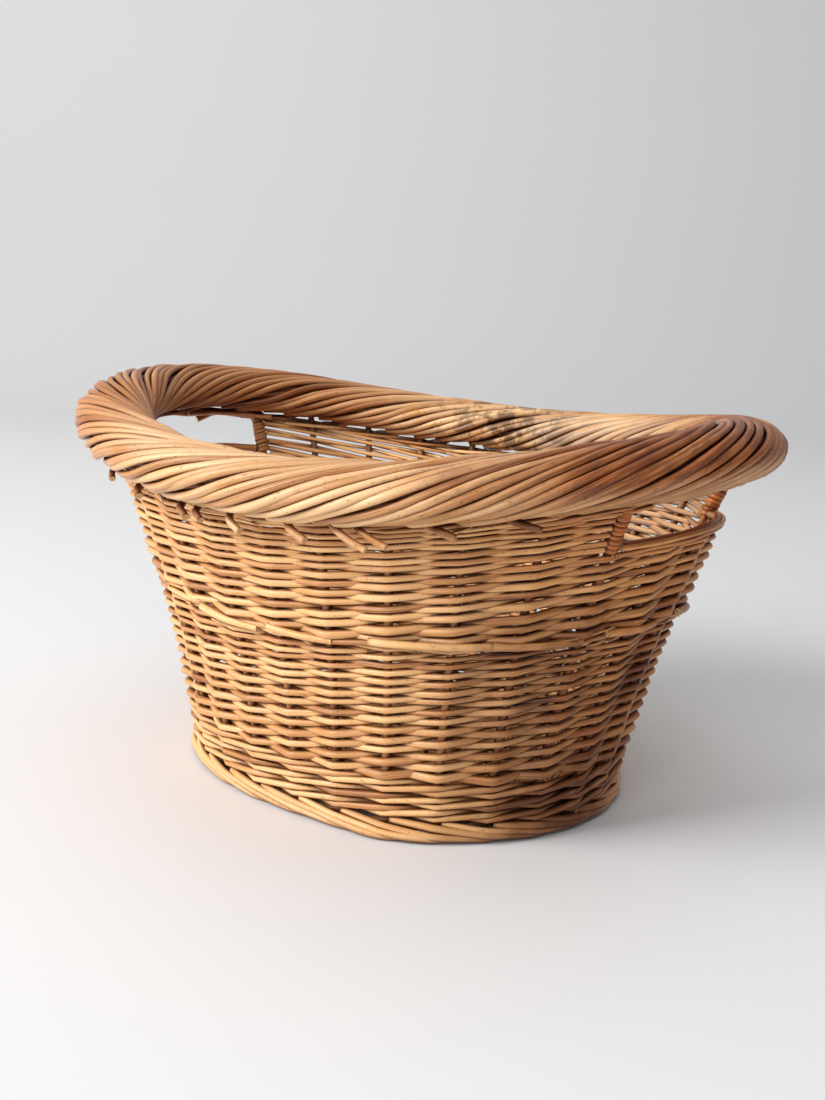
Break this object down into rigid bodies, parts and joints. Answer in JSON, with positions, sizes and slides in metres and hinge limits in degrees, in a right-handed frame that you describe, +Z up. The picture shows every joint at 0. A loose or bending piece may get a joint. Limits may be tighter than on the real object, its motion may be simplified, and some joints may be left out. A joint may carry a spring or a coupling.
{
  "type": "woven willow basket",
  "caption": "Oval flared willow market basket with a thick rolled rope border and a hand hole at each end.",
  "frame": {"origin": "centre of the underside of the foot, on the ground", "axes": "+Z up; +X along the long axis of the oval, through one hand hole; +Y across the basket"},
  "size_m": [0.6184, 0.4554, 0.322],
  "materials": {
    "willow_border": "buff willow rods, satin",
    "willow_weave": "buff willow weavers, satin",
    "willow_stake": "buff willow stakes, satin",
    "willow_base": "buff willow sticks, matt",
    "willow_skein": "thin wrapped willow, satin"
  },
  "bodies": {
    "root": {"base_cross_sticks": "willow_base", "base_long_sticks": "willow_base", "base_weave": "willow_base", "border_core": "willow_border", "border_rods_back_left": "willow_border", "border_rods_back_right": "willow_border", "border_rods_front_left": "willow_border", "border_rods_front_right": "willow_border", "foot_border": "willow_weave", "hand_hole_post_left_back": "willow_stake", "hand_hole_post_left_front": "willow_stake", "hand_hole_post_right_back": "willow_stake", "hand_hole_post_right_front": "willow_stake", "hand_hole_sill_left": "willow_weave", "hand_hole_sill_right": "willow_weave", "lower_randing_inner_strokes": "willow_weave", "lower_randing_outer_strokes": "willow_weave", "middle_wale": "willow_weave", "post_wrap_left_back": "willow_skein", "post_wrap_left_front": "willow_skein", "post_wrap_right_back": "willow_skein", "post_wrap_right_front": "willow_skein", "short_stakes_left": "willow_stake", "short_stakes_right": "willow_stake", "side_stakes_back": "willow_stake", "side_stakes_front": "willow_stake", "top_panel_back_inner_strokes": "willow_weave", "top_panel_back_outer_strokes": "willow_weave", "top_panel_front_inner_strokes": "willow_weave", "top_panel_front_outer_strokes": "willow_weave", "top_wale_back": "willow_weave", "top_wale_front": "willow_weave", "upper_randing_inner_strokes": "willow_weave", "upper_randing_outer_strokes": "willow_weave", "upsett_wale_row_1": "willow_weave", "upsett_wale_row_2": "willow_weave", "upsett_wale_row_3": "willow_weave"}
  },
  "joints": []
}
